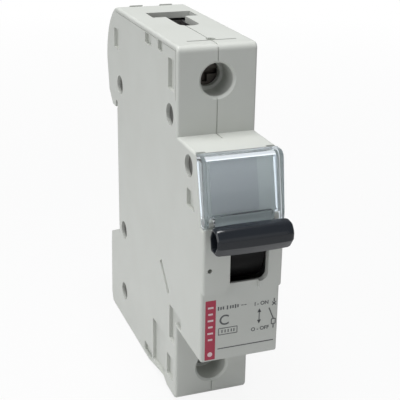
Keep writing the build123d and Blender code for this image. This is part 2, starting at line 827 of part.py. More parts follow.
with BuildPart() as trip_pin:
    rod(trip_y, trip_z, trip_pin_radius, -room - 0.4, room + 0.4)
finish(trip_pin, "trip_pin")

with BuildPart() as trip_spring:
    for turn in range(4):
        with BuildSketch(Plane.XY.offset(trip_z)) as wire_section:
            with Locations((trip_right + 0.5 + turn * 0.5, trip_y + trip_pin_radius + 0.45)):
                Circle(0.3)
        revolve(wire_section.sketch, axis=Axis((0, trip_y, trip_z), (1, 0, 0)))
finish(trip_spring, "trip_spring")


# ---- terminals ----
def terminal(way, label):
    """The screw and the lift cage of one terminal: way is 1 above and -1 below."""
    mid = way * screw_height
    with BuildPart() as screw:
        rod_y(0, mid, screw_head_radius, screw_head_front - screw_head_height, screw_head_front)
        fillet(screw.edges().sort_by(Axis.Y)[0], radius=0.5)
        rod_y(0, mid, screw_shank_radius, tab_front + 0.05, screw_head_front - screw_head_height)
        chamfer(screw.edges().sort_by(Axis.Y)[-1], length=0.5)
        for half_x, half_z in ((screw_head_radius + 1, drive_half_width), (drive_half_width, drive_reach)):
            block(
                -half_x, half_x, -screw_head_front - 1, drive_depth - screw_head_front,
                mid - half_z, mid + half_z, mode=Mode.SUBTRACT,
            )
    finish(screw, f"{label}_terminal_screw")
    low, high = sorted((way * cage_low, way * cage_high))
    inside = cage_half_width - cage_wall
    with BuildPart() as cage:
        block(-cage_half_width, cage_half_width, -cage_front, -cage_back, low, high)
        block(
            -inside, inside, cage_wall - cage_front, -cage_back - cage_wall,
            low - 1, high + 1, mode=Mode.SUBTRACT,
        )
        thread_hole = screw_shank_radius + 0.05
        rod_y(0, mid, thread_hole, cage_front - cage_wall - 1, cage_front + 1, mode=Mode.SUBTRACT)
    finish(cage, f"{label}_clamp_cage")


terminal(1, "upper")
terminal(-1, "lower")

tab_half_width = cage_half_width - cage_wall - 0.3
coil_lead_y = -coil_back + 0.05 + yoke_thickness + 0.3
with BuildPart() as upper_terminal_plate:
    block(-room + 0.2, room - 0.2, -tab_front, coil_lead_y + 1.0, plate_low, plate_high)
    block(-tab_half_width, tab_half_width, -tab_front, -tab_back, plate_high, cage_high - 1.5)
    block(-3.0, 3.0, coil_lead_y, coil_lead_y + 1.0, coil_z + 3.4, plate_low)
finish(upper_terminal_plate, "upper_terminal_plate")

bimetal_face = -43.4
bimetal_thickness = 0.8
bimetal_left = -6.6
bimetal_right = -2.8
plate_tab_y = bimetal_face + 0.05
setting_x = (bimetal_left + bimetal_right) / 2
setting_z = -23.3
setting_radius = 0.8
setting_shank = 5.0
setting_head = 1.2
with BuildPart() as lower_terminal_plate:
    block(-room + 0.2, room - 0.2, plate_tab_y, -tab_back, -plate_high, -plate_low)
    block(-tab_half_width, tab_half_width, -tab_front, -tab_back, 1.5 - cage_high, -plate_high)
    block(bimetal_left, bimetal_right, plate_tab_y, plate_tab_y + 1.2, -plate_low, -21.5)
    rod_y(setting_x, setting_z, setting_radius + 0.05, -plate_tab_y - 2, -plate_tab_y, mode=Mode.SUBTRACT)
finish(lower_terminal_plate, "lower_terminal_plate")

with BuildPart() as bimetal_strip:
    block(
        bimetal_left, bimetal_right, bimetal_face - bimetal_thickness, bimetal_face,
        -plate_low, -3.6,
    )
finish(bimetal_strip, "bimetal_strip")

with BuildPart() as calibration_screw:
    head_start = -plate_tab_y - setting_shank
    rod_y(setting_x, setting_z, setting_radius, head_start, -plate_tab_y)
    rod_y(setting_x, setting_z, setting_radius + 0.6, head_start - setting_head, head_start)
    block(
        setting_x - 2, setting_x + 2, setting_head / 2 - head_start, 2 - head_start,
        setting_z - 0.25, setting_z + 0.25, mode=Mode.SUBTRACT,
    )
finish(calibration_screw, "calibration_screw")

arm_front = arm_face - arm_thickness
braid_foot_x = -4.4
braid_foot_z = -9.0
braid_head_x = -1.0
braid_head_z = -13.2
braid_run = 2.6
with BuildPart() as flexible_braid:
    with BuildLine() as braid_path:
        FilletPolyline(
            (braid_foot_x, bimetal_face, braid_foot_z),
            (braid_foot_x, bimetal_face + braid_run, braid_foot_z),
            (braid_head_x, arm_front - braid_run, braid_head_z),
            (braid_head_x, arm_front, braid_head_z),
            radius=[1.8, 1.8],
        )
    with BuildSketch(Plane(origin=braid_path.line @ 0, z_dir=braid_path.line % 0)) as braid_section:
        Circle(0.7)
    sweep(braid_section.sketch, path=braid_path.line)
finish(flexible_braid, "flexible_braid")
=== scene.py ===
"""Looks for a one-pole rail-mounted circuit breaker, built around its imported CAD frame."""

import logging
import math
from dataclasses import dataclass, field
from enum import Enum

import bmesh
import bpy
from mathutils import Matrix, Vector

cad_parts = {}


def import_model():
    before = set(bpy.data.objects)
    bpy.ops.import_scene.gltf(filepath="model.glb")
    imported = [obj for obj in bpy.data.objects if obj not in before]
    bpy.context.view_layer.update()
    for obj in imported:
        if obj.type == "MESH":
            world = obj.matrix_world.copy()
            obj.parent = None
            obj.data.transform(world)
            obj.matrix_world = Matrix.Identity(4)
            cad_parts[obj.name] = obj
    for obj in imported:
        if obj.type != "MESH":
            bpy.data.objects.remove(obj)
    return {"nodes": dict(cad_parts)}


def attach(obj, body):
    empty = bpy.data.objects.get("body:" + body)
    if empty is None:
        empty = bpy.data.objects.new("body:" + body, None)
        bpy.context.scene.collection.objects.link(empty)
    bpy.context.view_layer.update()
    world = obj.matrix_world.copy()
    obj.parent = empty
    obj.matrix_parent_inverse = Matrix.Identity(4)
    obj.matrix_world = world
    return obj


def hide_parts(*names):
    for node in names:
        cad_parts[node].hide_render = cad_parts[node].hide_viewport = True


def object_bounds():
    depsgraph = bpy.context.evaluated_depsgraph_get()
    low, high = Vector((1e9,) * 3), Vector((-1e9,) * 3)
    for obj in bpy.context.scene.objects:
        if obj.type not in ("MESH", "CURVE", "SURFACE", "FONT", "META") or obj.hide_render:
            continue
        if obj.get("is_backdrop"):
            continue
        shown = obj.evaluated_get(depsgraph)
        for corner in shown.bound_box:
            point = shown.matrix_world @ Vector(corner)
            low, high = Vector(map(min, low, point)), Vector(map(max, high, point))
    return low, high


log = logging.getLogger("breaker")
MM = 0.001
FLOOR_GAP = 0.1
Point2 = tuple[float, float]
Colour = tuple[float, float, float]


class Surface(Enum):
    """How a finish is textured."""

    MOULDED = "moulded"
    POLISHED = "polished"
    BRUSHED = "brushed"
    STAMPED = "stamped"
    WOVEN = "woven"
    INK = "ink"


# ---------------------------------------------------------------- shader groups


def new_group(
    name: str, inputs: dict[str, tuple[str, object]], outputs: dict[str, str]
) -> bpy.types.NodeTree:
    """Make an empty shader node group.

    Args:
        name: The group's name.
        inputs: Socket name to (short socket type, default value).
        outputs: Socket name to short socket type.

    Returns:
        The node tree, with nodes named "in" and "out".
    """
    tree = bpy.data.node_groups.new(name, "ShaderNodeTree")
    for label, (kind, value) in inputs.items():
        socket = tree.interface.new_socket(label, in_out="INPUT", socket_type=f"NodeSocket{kind}")
        socket.default_value = value
    for label, kind in outputs.items():
        tree.interface.new_socket(label, in_out="OUTPUT", socket_type=f"NodeSocket{kind}")
    tree.nodes.new("NodeGroupInput").name = "in"
    tree.nodes.new("NodeGroupOutput").name = "out"
    return tree


def add(tree: bpy.types.NodeTree, kind: str, **settings: object) -> bpy.types.Node:
    """Add a node to a tree.

    Args:
        tree: The tree that gets the node.
        kind: The node's type, without its ShaderNode prefix.
        settings: Properties to set on the node.

    Returns:
        The new node.
    """
    node = tree.nodes.new(f"ShaderNode{kind}")
    for label, value in settings.items():
        setattr(node, label, value)
    return node


def calculate(
    tree: bpy.types.NodeTree, operation: str, *values: bpy.types.NodeSocket | float
) -> bpy.types.NodeSocket:
    """Add a Math node.

    Args:
        tree: The tree that gets the node.
        operation: The node's operation.
        values: Its inputs in order, each a socket to link or a number.

    Returns:
        The result's socket.
    """
    node = add(tree, "Math", operation=operation)
    for socket, value in zip(node.inputs, values):
        if isinstance(value, bpy.types.NodeSocket):
            tree.links.new(value, socket)
        else:
            socket.default_value = value
    return node.outputs[0]


def ramp(
    tree: bpy.types.NodeTree, value: bpy.types.NodeSocket, low: Point2, high: Point2
) -> bpy.types.NodeSocket:
    """Map a value in a straight line between two points, level beyond them.

    Args:
        tree: The tree that gets the node.
        value: The value's socket.
        low: The value and the result at the low end.
        high: The value and the result at the high end.

    Returns:
        The result's socket.
    """
    node = add(tree, "MapRange")
    for label, number in zip(("From Min", "To Min", "From Max", "To Max"), (*low, *high)):
        node.inputs[label].default_value = number
    tree.links.new(value, node.inputs["Value"])
    return node.outputs["Result"]


def stretched_coordinates(tree: bpy.types.NodeTree, stretch: Colour) -> bpy.types.NodeSocket:
    """Give object coordinates scaled by a different amount along each axis.

    Args:
        tree: The tree that gets the nodes.
        stretch: The scale along X, Y and Z.

    Returns:
        The vector socket.
    """
    place = add(tree, "TexCoord")
    mapping = add(tree, "Mapping")
    mapping.inputs["Scale"].default_value = stretch
    tree.links.new(place.outputs["Object"], mapping.inputs["Vector"])
    return mapping.outputs["Vector"]


TEXTURE_INPUTS: dict[str, tuple[str, object]] = {
    "Color": ("Color", (0.8, 0.8, 0.8, 1.0)),
    "Second Color": ("Color", (0.7, 0.7, 0.7, 1.0)),
    "Scale": ("Float", 2000.0),
    "Mottling": ("Float", 0.3),
    "Roughness": ("Float", 0.5),
    "Roughness Spread": ("Float", 0.1),
    "Relief": ("Float", 0.1),
}
TEXTURE_OUTPUTS: dict[str, str] = {"Color": "Color", "Roughness": "Float", "Normal": "Vector"}


@dataclass(frozen=True)
class Pattern:
    """What a texture group's outputs follow.

    Args:
        mix: The pattern that moves the colour, 0 to 1.
        colours: The inputs that show where the pattern is 0 and 1.
        wander: The pattern that moves the roughness.
        height: The pattern that the bump rises with.
        depth: The bump's depth in millimetres.
    """

    mix: bpy.types.NodeSocket
    colours: tuple[str, str]
    wander: bpy.types.NodeSocket
    height: bpy.types.NodeSocket
    depth: float

    def link(self, tree: bpy.types.NodeTree) -> None:
        """Link the pattern to the group's Color, Roughness and Normal outputs."""
        given, out = tree.nodes["in"], tree.nodes["out"]
        share = calculate(tree, "MULTIPLY", self.mix, given.outputs["Mottling"])
        blend = add(tree, "Mix", data_type="RGBA")
        tree.links.new(share, blend.inputs["Factor"])
        for index, label in zip((6, 7), self.colours):
            tree.links.new(given.outputs[label], blend.inputs[index])
        tree.links.new(blend.outputs[2], out.inputs["Color"])
        rough = calculate(
            tree, "MULTIPLY_ADD", self.wander, given.outputs["Roughness Spread"], given.outputs["Roughness"]
        )
        tree.links.new(rough, out.inputs["Roughness"])
        bump = add(tree, "Bump")
        bump.inputs["Distance"].default_value = self.depth * MM
        tree.links.new(self.height, bump.inputs["Height"])
        tree.links.new(given.outputs["Relief"], bump.inputs["Strength"])
        tree.links.new(bump.outputs["Normal"], out.inputs["Normal"])


def grain_group(name: str, stretch: Colour, detail: float) -> bpy.types.NodeTree:
    """Make the group that mottles a colour and raises a fine grain.

    Args:
        name: The group's name.
        stretch: How the grain is stretched along X, Y and Z.
        detail: The noise's detail.

    Returns:
        The group, with Color, Roughness and Normal outputs.
    """
    tree = new_group(name, TEXTURE_INPUTS, TEXTURE_OUTPUTS)
    place = stretched_coordinates(tree, stretch)
    fine = add(tree, "TexNoise")
    fine.inputs["Detail"].default_value = detail
    fine.inputs["Roughness"].default_value = 0.6
    tree.links.new(place, fine.inputs["Vector"])
    tree.links.new(tree.nodes["in"].outputs["Scale"], fine.inputs["Scale"])
    broad = add(tree, "TexNoise")
    broad.inputs["Scale"].default_value = 95.0
    broad.inputs["Detail"].default_value = 4.0
    tree.links.new(place, broad.inputs["Vector"])
    Pattern(
        mix=ramp(tree, broad.outputs["Fac"], (0.35, 0.0), (0.75, 1.0)),
        colours=("Color", "Second Color"),
        wander=calculate(tree, "SUBTRACT", fine.outputs["Fac"], 0.5),
        height=fine.outputs["Fac"],
        depth=0.02,
    ).link(tree)
    return tree


def weave_group(name: str) -> bpy.types.NodeTree:
    """Make the group that crosses two diagonal waves into a woven wire braid.

    Args:
        name: The group's name.

    Returns:
        The group, with Color, Roughness and Normal outputs.
    """
    tree = new_group(name, TEXTURE_INPUTS, TEXTURE_OUTPUTS)
    place = stretched_coordinates(tree, (1.0, 1.0, 1.0))
    strands = []
    for turn in (0.8, -0.8):
        twist = add(tree, "Mapping")
        twist.inputs["Rotation"].default_value = (turn, 0.3, turn)
        tree.links.new(place, twist.inputs["Vector"])
        wave = add(tree, "TexWave")
        tree.links.new(twist.outputs["Vector"], wave.inputs["Vector"])
        tree.links.new(tree.nodes["in"].outputs["Scale"], wave.inputs["Scale"])
        strands.append(wave.outputs["Fac"])
    cross = calculate(tree, "MAXIMUM", *strands)
    Pattern(mix=cross, colours=("Second Color", "Color"), wander=cross, height=cross, depth=0.08).link(tree)
    return tree


GROUP_STRETCH: dict[Surface, tuple[Colour, float]] = {
    Surface.MOULDED: ((1.0, 1.0, 1.0), 3.0),
    Surface.POLISHED: ((1.0, 1.0, 1.0), 1.0),
    Surface.BRUSHED: ((0.12, 1.0, 1.0), 4.0),
    Surface.STAMPED: ((1.0, 0.6, 0.3), 6.0),
    Surface.INK: ((1.0, 1.0, 1.0), 5.0),
}


def texture_group(surface: Surface) -> bpy.types.NodeTree:
    """Give the shared group of a surface, and make it the first time.

    Args:
        surface: How the finish is textured.

    Returns:
        The shader node group.
    """
    name = f"{surface.value}_texture"
    if name in bpy.data.node_groups:
        return bpy.data.node_groups[name]
    if surface is Surface.WOVEN:
        return weave_group(name)
    return grain_group(name, *GROUP_STRETCH[surface])


# ---------------------------------------------------------------- finishes

MADE: dict[str, str] = {}
ROUGHNESS_SPREAD = 0.25
COAT_ROUGHNESS = 0.08
CLEAR_PLASTIC_IOR = 1.49


@dataclass(frozen=True)
class Finish:
    """One material finish.

    Args:
        name: The material's name.
        colour: Base colour, linear.
        shade: The second colour that the mottling moves to.
        surface: How it is textured.
        roughness: The middle roughness.
        metallic: 1 for metal.
        scale: The grain's scale, in features per metre.
        mottling: How far the colour moves, 0 to 1.
        relief: The grain's bump strength.
        coat: The weight of a clear coat.
        clearness: The weight of transmission, 0 for an opaque finish.
        gloss: The level of the plain surface reflection, 0.5 for common plastic.
    """

    name: str
    colour: Colour
    shade: Colour
    surface: Surface = Surface.MOULDED
    roughness: float = 0.5
    metallic: float = 0.0
    scale: float = 2600.0
    mottling: float = 0.35
    relief: float = 0.25
    coat: float = 0.0
    clearness: float = 0.0
    gloss: float = 0.5

    def material(self) -> bpy.types.Material:
        """Give the finish's material, and make it the first time."""
        if self.name in MADE:
            return bpy.data.materials[MADE[self.name]]
        material = bpy.data.materials.new(f"{self.name}_finish")
        MADE[self.name] = material.name
        material.use_nodes = True
        tree = material.node_tree
        shader = tree.nodes["Principled BSDF"]
        texture = add(tree, "Group", node_tree=texture_group(self.surface))
        values = {
            "Color": (*self.colour, 1.0),
            "Second Color": (*self.shade, 1.0),
            "Scale": self.scale,
            "Mottling": self.mottling,
            "Roughness": self.roughness,
            "Roughness Spread": ROUGHNESS_SPREAD * self.roughness,
            "Relief": self.relief,
        }
        for label, value in values.items():
            texture.inputs[label].default_value = value
        tree.links.new(texture.outputs["Color"], shader.inputs["Base Color"])
        tree.links.new(texture.outputs["Roughness"], shader.inputs["Roughness"])
        tree.links.new(texture.outputs["Normal"], shader.inputs["Normal"])
        shader.inputs["Metallic"].default_value = self.metallic
        shader.inputs["Specular IOR Level"].default_value = self.gloss
        shader.inputs["Coat Weight"].default_value = self.coat
        shader.inputs["Coat Roughness"].default_value = COAT_ROUGHNESS
        if self.clearness:
            shader.inputs["Transmission Weight"].default_value = self.clearness
            shader.inputs["IOR"].default_value = CLEAR_PLASTIC_IOR
        return material


CASING = Finish("casing_plastic", (0.585, 0.600, 0.565), (0.520, 0.530, 0.490), roughness=0.46, relief=0.3)
CLAW = Finish("claw_plastic", (0.560, 0.575, 0.540), (0.500, 0.510, 0.475), roughness=0.5, relief=0.3)
TOGGLE = Finish(
    "toggle_plastic", (0.010, 0.013, 0.018), (0.014, 0.017, 0.022), Surface.POLISHED,
    roughness=0.24, relief=0.06, scale=1500.0,
)
# Painted shade: the toggle's own black plastic, made a touch darker and with its reflection turned down,
# standing in for the shade the drum lies in inside the slot.
DRUM_PAINTED_SHADE = Finish(
    "toggle_drum_painted_shade", (0.008, 0.008, 0.008), (0.013, 0.012, 0.011), Surface.POLISHED,
    roughness=0.42, relief=0.06, scale=1500.0, gloss=0.08,
)
WINDOW = Finish(
    "window_plastic", (0.80, 0.855, 0.895), (0.77, 0.83, 0.875), Surface.POLISHED,
    roughness=0.035, relief=0.02, clearness=1.0, scale=700.0,
)
CARD = Finish(
    "label_card_paper", (0.50, 0.50, 0.49), (0.45, 0.45, 0.44), roughness=0.6, relief=0.3, scale=4200.0,
)
BOBBIN = Finish("bobbin_plastic", (0.70, 0.68, 0.60), (0.62, 0.60, 0.52), roughness=0.5)
MECHANISM = Finish("mechanism_plastic", (0.45, 0.43, 0.37), (0.36, 0.34, 0.29), roughness=0.55, relief=0.4)
ARC_BOARD = Finish(
    "arc_board", (0.34, 0.15, 0.08), (0.25, 0.11, 0.06), roughness=0.7, relief=0.6, scale=1800.0,
)
ZINC = Finish(
    "zinc_steel", (0.50, 0.50, 0.51), (0.36, 0.35, 0.33), Surface.STAMPED,
    roughness=0.34, metallic=1.0, scale=1600.0, mottling=0.5,
)
SPRING = Finish(
    "spring_steel", (0.42, 0.42, 0.43), (0.30, 0.30, 0.30), Surface.BRUSHED,
    roughness=0.3, metallic=1.0, scale=3000.0,
)
STEEL = Finish(
    "bare_steel", (0.38, 0.38, 0.38), (0.26, 0.25, 0.24), Surface.BRUSHED,
    roughness=0.38, metallic=1.0, scale=2600.0,
)
TINNED = Finish(
    "plated_copper", (0.62, 0.56, 0.46), (0.50, 0.42, 0.32), Surface.STAMPED,
    roughness=0.36, metallic=1.0, scale=1500.0,
)
COPPER = Finish(
    "bare_copper", (0.72, 0.30, 0.16), (0.48, 0.17, 0.09), Surface.STAMPED,
    roughness=0.32, metallic=1.0, scale=1500.0, mottling=0.6,
)
BRAID = Finish(
    "braided_copper", (0.72, 0.32, 0.18), (0.26, 0.09, 0.05), Surface.WOVEN,
    roughness=0.3, metallic=1.0, scale=900.0, mottling=0.9, relief=0.8,
)
ENAMEL = Finish(
    "enamel_wire", (0.46, 0.13, 0.04), (0.34, 0.08, 0.03), Surface.POLISHED,
    roughness=0.2, metallic=0.85, coat=0.8, scale=1200.0,
)
# Painted shade: the rivet steel is made much darker than the other steel, standing in for the shade in the
# pockets the rivet heads sit in.
RIVET_PAINTED_SHADE = Finish(
    "rivet_steel_painted_shade", (0.22, 0.22, 0.21), (0.14, 0.135, 0.13), Surface.STAMPED,
    roughness=0.5, metallic=1.0, scale=1800.0, mottling=0.6,
)
SCREW = Finish(
    "screw_steel", (0.17, 0.155, 0.14), (0.09, 0.08, 0.07), Surface.STAMPED,
    roughness=0.42, metallic=1.0, scale=1400.0, mottling=0.8,
)
SILVER = Finish(
    "silver_contact", (0.72, 0.71, 0.68), (0.60, 0.58, 0.54), Surface.STAMPED,
    roughness=0.3, metallic=1.0, scale=2000.0,
)
INK_RED = Finish(
    "red_ink", (0.44, 0.035, 0.075), (0.36, 0.03, 0.065), Surface.INK,
    roughness=0.5, mottling=0.5, relief=0.15,
)
INK_WHITE = Finish(
    "white_ink", (0.78, 0.62, 0.64), (0.70, 0.52, 0.55), Surface.INK,
    roughness=0.5, mottling=0.5, relief=0.15,
)
INK_DARK = Finish(
    "dark_ink", (0.085, 0.09, 0.095), (0.16, 0.165, 0.165), Surface.INK,
    roughness=0.55, mottling=0.7, relief=0.15,
)

NODE_FINISH: dict[str, Finish] = {
    "casing_left": CASING, "casing_right": CASING, "casing_rivets": RIVET_PAINTED_SHADE, "label_window": WINDOW,
    "upper_rail_claw": CLAW, "lower_rail_claw": CLAW, "toggle_lever": TOGGLE, "toggle_pin": STEEL,
    "toggle_spring": SPRING, "link_rod": ZINC, "contact_carrier": MECHANISM, "carrier_pin": STEEL,
    "moving_contact_arm": COPPER, "moving_contact_tip": SILVER, "fixed_contact_tip": SILVER,
    "fixed_contact_strip": COPPER, "contact_spring": SPRING, "arc_plates": STEEL,
    "arc_cheek_left": ARC_BOARD, "arc_cheek_right": ARC_BOARD, "solenoid_bobbin": BOBBIN,
    "solenoid_coil": ENAMEL, "solenoid_yoke": ZINC, "solenoid_plunger": STEEL, "plunger_spring": SPRING,
    "trip_lever": MECHANISM, "trip_pin": STEEL, "trip_spring": SPRING, "upper_terminal_screw": SCREW,
    "lower_terminal_screw": SCREW, "upper_clamp_cage": ZINC, "lower_clamp_cage": ZINC,
    "upper_terminal_plate": TINNED, "lower_terminal_plate": TINNED, "bimetal_strip": STEEL,
    "calibration_screw": ZINC, "flexible_braid": BRAID,
}


# ---------------------------------------------------------------- mesh helpers


def to_object(
    bm: bmesh.types.BMesh, name: str, finish: Finish, sharp_degrees: float = 32.0
) -> bpy.types.Object:
    """Turn a bmesh into an object in the scene.

    Args:
        bm: The mesh, which is freed.
        name: The object's name.
        finish: Its finish.
        sharp_degrees: Edges that turn by more than this stay sharp.

    Returns:
        The new object.
    """
    bmesh.ops.remove_doubles(bm, verts=bm.verts, dist=1e-7)
    bmesh.ops.recalc_face_normals(bm, faces=bm.faces)
    for face in bm.faces:
        face.smooth = True
    for edge in bm.edges:
        edge.smooth = edge.calc_face_angle(math.pi) < math.radians(sharp_degrees)
    mesh = bpy.data.meshes.new(name)
    bm.to_mesh(mesh)
    bm.free()
    mesh.materials.append(finish.material())
    piece = bpy.data.objects.new(name, mesh)
    bpy.context.scene.collection.objects.link(piece)
    return piece


def rounded(points: list[Point2], radii: list[float], steps: int = 6) -> list[Point2]:
    """Round the corners of a closed outline.

    Args:
        points: The outline's corners.
        radii: The radius of each corner.
        steps: Points along each corner's arc.

    Returns:
        The rounded outline.
    """
    out: list[Point2] = []
    count = len(points)
    for index in range(count):
        corner = Vector(points[index])
        before = (Vector(points[index - 1]) - corner).normalized()
        after = (Vector(points[(index + 1) % count]) - corner).normalized()
        half = before.angle(after) / 2
        radius = radii[index]
        reach = radius / math.tan(half)
        start, end = corner + before * reach, corner + after * reach
        centre = corner + (before + after).normalized() * (radius / math.sin(half))
        for step in range(steps + 1):
            share = step / steps
            spoke = (start - centre).lerp(end - centre, share).normalized() * radius
            out.append(tuple(centre + spoke))
    return out


def loft(bm: bmesh.types.BMesh, rings: list[list[Vector]]) -> None:
    """Join closed rings of the same length into a solid with closed ends.

    Args:
        bm: The mesh that gets the faces.
        rings: The rings, in order.
    """
    made = [[bm.verts.new(point) for point in ring] for ring in rings]
    count = len(made[0])
    for low, high in zip(made, made[1:]):
        for index in range(count):
            after = (index + 1) % count
            bm.faces.new((low[index], low[after], high[after], high[index]))
    bm.faces.new(list(reversed(made[0])))
    bm.faces.new(made[-1])


def soften(piece: bpy.types.Object, width: float) -> None:
    """Round a piece's sharp edges with a bevel modifier.

    Args:
        piece: The object.
        width: The bevel's width in millimetres.
    """
    bevel = piece.modifiers.new("soft_edges", "BEVEL")
    bevel.width = width * MM
    bevel.segments = 2
    bevel.limit_method = "ANGLE"
    bevel.angle_limit = math.radians(40.0)


# ---------------------------------------------------------------- sub-assemblies


@dataclass
class CarriedNodes:
    """The CAD nodes that keep their own shape and get a finish.

    Args:
        rounding: Bevel width in millimetres of each node whose edges are softened.
    """

    rounding: dict[str, float] = field(
        default_factory=lambda: {
            "upper_rail_claw": 0.25, "lower_rail_claw": 0.25,
            "upper_clamp_cage": 0.15, "lower_clamp_cage": 0.15,
        }
    )

    def dress(self, nodes: dict[str, bpy.types.Object]) -> None:
        """Give every CAD node its finish.

        Args:
            nodes: The frame's nodes.
        """
        for name, piece in nodes.items():
            material = NODE_FINISH[name].material()
            for slot in piece.material_slots:
                slot.material = material
            if not piece.material_slots:
                piece.data.materials.append(material)
            if name in self.rounding:
                soften(piece, self.rounding[name])
            log.info("dressed %s", name)


@dataclass
class Toggle:
    """The bar toggle and its drum, in millimetres.

    Args:
        axis: The hinge's place, as (y, z).
        bar: The bar's side outline in the on position, as (y, z, corner radius).
        half_length: Half the bar's length.
        swell: How much fuller the bar is at its middle.
        ends: The rings of each hollowed end, as (distance in from the end, scale).
        half_rings: Rings along each half of the bar.
        drum_radius: Radius of the drum.
        drum_sides: The drum's left and right sides.
        drum_bevel: The bevel of the drum's rims.
        drum_steps: Steps around the drum.
        stem: The two outer corners of the stem that carries the bar, as (y, z).
        stem_lead: Angle in radians from the stem's lower corner to the start of the drum's round.
        stem_width: Angle in radians that the stem takes out of the round.
    """

    axis: Point2 = (-54.5, 1.0)
    bar: tuple[tuple[float, float, float], ...] = (
        (-64.7, 7.6, 0.8), (-66.0, 10.2, 1.0), (-68.3, 10.0, 1.3), (-69.6, 8.2, 1.6),
        (-69.5, 6.3, 0.3), (-68.1, 4.3, 0.3), (-65.4, 4.3, 0.6),
    )
    half_length: float = 8.2
    swell: float = 0.05
    ends: tuple[Point2, ...] = ((1.3, 0.66), (0.05, 0.72), (0.0, 0.80), (0.3, 0.92), (0.8, 0.975))
    half_rings: int = 6
    drum_radius: float = 7.6
    drum_sides: Point2 = (-2.55, 5.25)
    drum_bevel: float = 0.3
    drum_steps: int = 56
    stem: tuple[Point2, Point2] = ((-66.0, 4.9), (-66.6, 8.4))
    stem_lead: float = 0.34
    stem_width: float = 0.62

    def ring(self, x: float, grow: float) -> list[Vector]:
        """Give the bar's outline at one place along its length.

        Args:
            x: The place, in millimetres.
            grow: Scale about the bar's middle.

        Returns:
            The outline's points in metres.
        """
        outline = rounded([(y, z) for y, z, _ in self.bar], [radius for _, _, radius in self.bar])
        mid_y = sum(p[0] for p in self.bar) / len(self.bar)
        mid_z = sum(p[1] for p in self.bar) / len(self.bar)
        return [
            Vector((x, mid_y + (y - mid_y) * grow, mid_z + (z - mid_z) * grow)) * MM for y, z in outline
        ]

    def build_bar(self) -> bpy.types.Object:
        """Build the bulged bar with bevelled, hollowed ends."""
        last_inward, last_grow = self.ends[-1]
        stations = [(-self.half_length + inward, grow) for inward, grow in self.ends]
        for step in range(1, 2 * self.half_rings):
            along = step / self.half_rings - 1.0
            reach = self.half_length - last_inward
            stations.append((along * reach, last_grow + self.swell * (1 - along * along)))
        stations += [(self.half_length - inward, grow) for inward, grow in reversed(self.ends)]
        bm = bmesh.new()
        loft(bm, [self.ring(x, grow) for x, grow in stations])
        return to_object(bm, "toggle_bar", TOGGLE, 28.0)

    def build_drum(self) -> bpy.types.Object:
        """Build the drum with its stem."""
        y0, z0 = self.axis
        foot_y, foot_z = self.stem[0]
        start = math.atan2(foot_z - z0, foot_y - y0) + self.stem_lead
        sweep = 2 * math.pi - self.stem_width
        outline: list[Point2] = []
        for step in range(self.drum_steps + 1):
            turn = start + sweep * step / self.drum_steps
            outline.append((y0 + self.drum_radius * math.cos(turn), z0 + self.drum_radius * math.sin(turn)))
        outline += self.stem
        centre = Vector(self.axis)
        low, high = self.drum_sides
        bevel = self.drum_bevel
        rings = []
        for x, shrink in ((low, bevel), (low + bevel, 0.0), (high - bevel, 0.0), (high, bevel)):
            ring = []
            for point in outline:
                spoke = Vector(point) - centre
                spoke = spoke * (1 - shrink / spoke.length)
                ring.append(Vector((x, y0 + spoke.x, z0 + spoke.y)) * MM)
            rings.append(ring)
        bm = bmesh.new()
        loft(bm, rings)
        # The drum takes the darker, duller copy of the toggle plastic, which paints the shade inside the
        # slot.
        return to_object(bm, "toggle_drum", DRUM_PAINTED_SHADE)

    def build(self) -> None:
        """Build the toggle in place of its CAD node."""
        for piece in (self.build_bar(), self.build_drum()):
            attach(piece, "toggle")
            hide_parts("toggle_lever")
            log.info("built %s", piece.name)


@dataclass
class LabelCard:
    """The blank card behind the window, in millimetres.

    Args:
        low: Its lower left corner, as (x, z).
        high: Its upper right corner, as (x, z).
        seat: The sloping seat's depth at two heights, as ((depth, z), (depth, z)).
        thickness: The card's thickness.
        sink: How far its back lies in the seat.
        corner: The radius of its corners.
        edge: The rounding of its edges.
    """

    low: Point2 = (-6.4, 10.6)
    high: Point2 = (3.9, 21.2)
    seat: tuple[Point2, Point2] = ((61.3, 8.0), (57.8, 22.5))
    thickness: float = 0.3
    sink: float = 0.02
    corner: float = 0.4
    edge: float = 0.06

    def depth(self, z: float) -> float:
        """Give the seat's depth at a height."""
        (low_depth, low_z), (high_depth, high_z) = self.seat
        return low_depth + (high_depth - low_depth) * (z - low_z) / (high_z - low_z)

    def build(self) -> None:
        """Build the card."""
        corners = [self.low, (self.high[0], self.low[1]), self.high, (self.low[0], self.high[1])]
        outline = rounded(corners, [self.corner] * len(corners))
        bm = bmesh.new()
        rings = []
        for lift in (-self.sink, self.thickness):
            rings.append([Vector((x, -self.depth(z) - lift, z)) * MM for x, z in outline])
        loft(bm, rings)
        card = to_object(bm, "label_card", CARD)
        soften(card, self.edge)
        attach(card, "housing")
        log.info("built label_card")


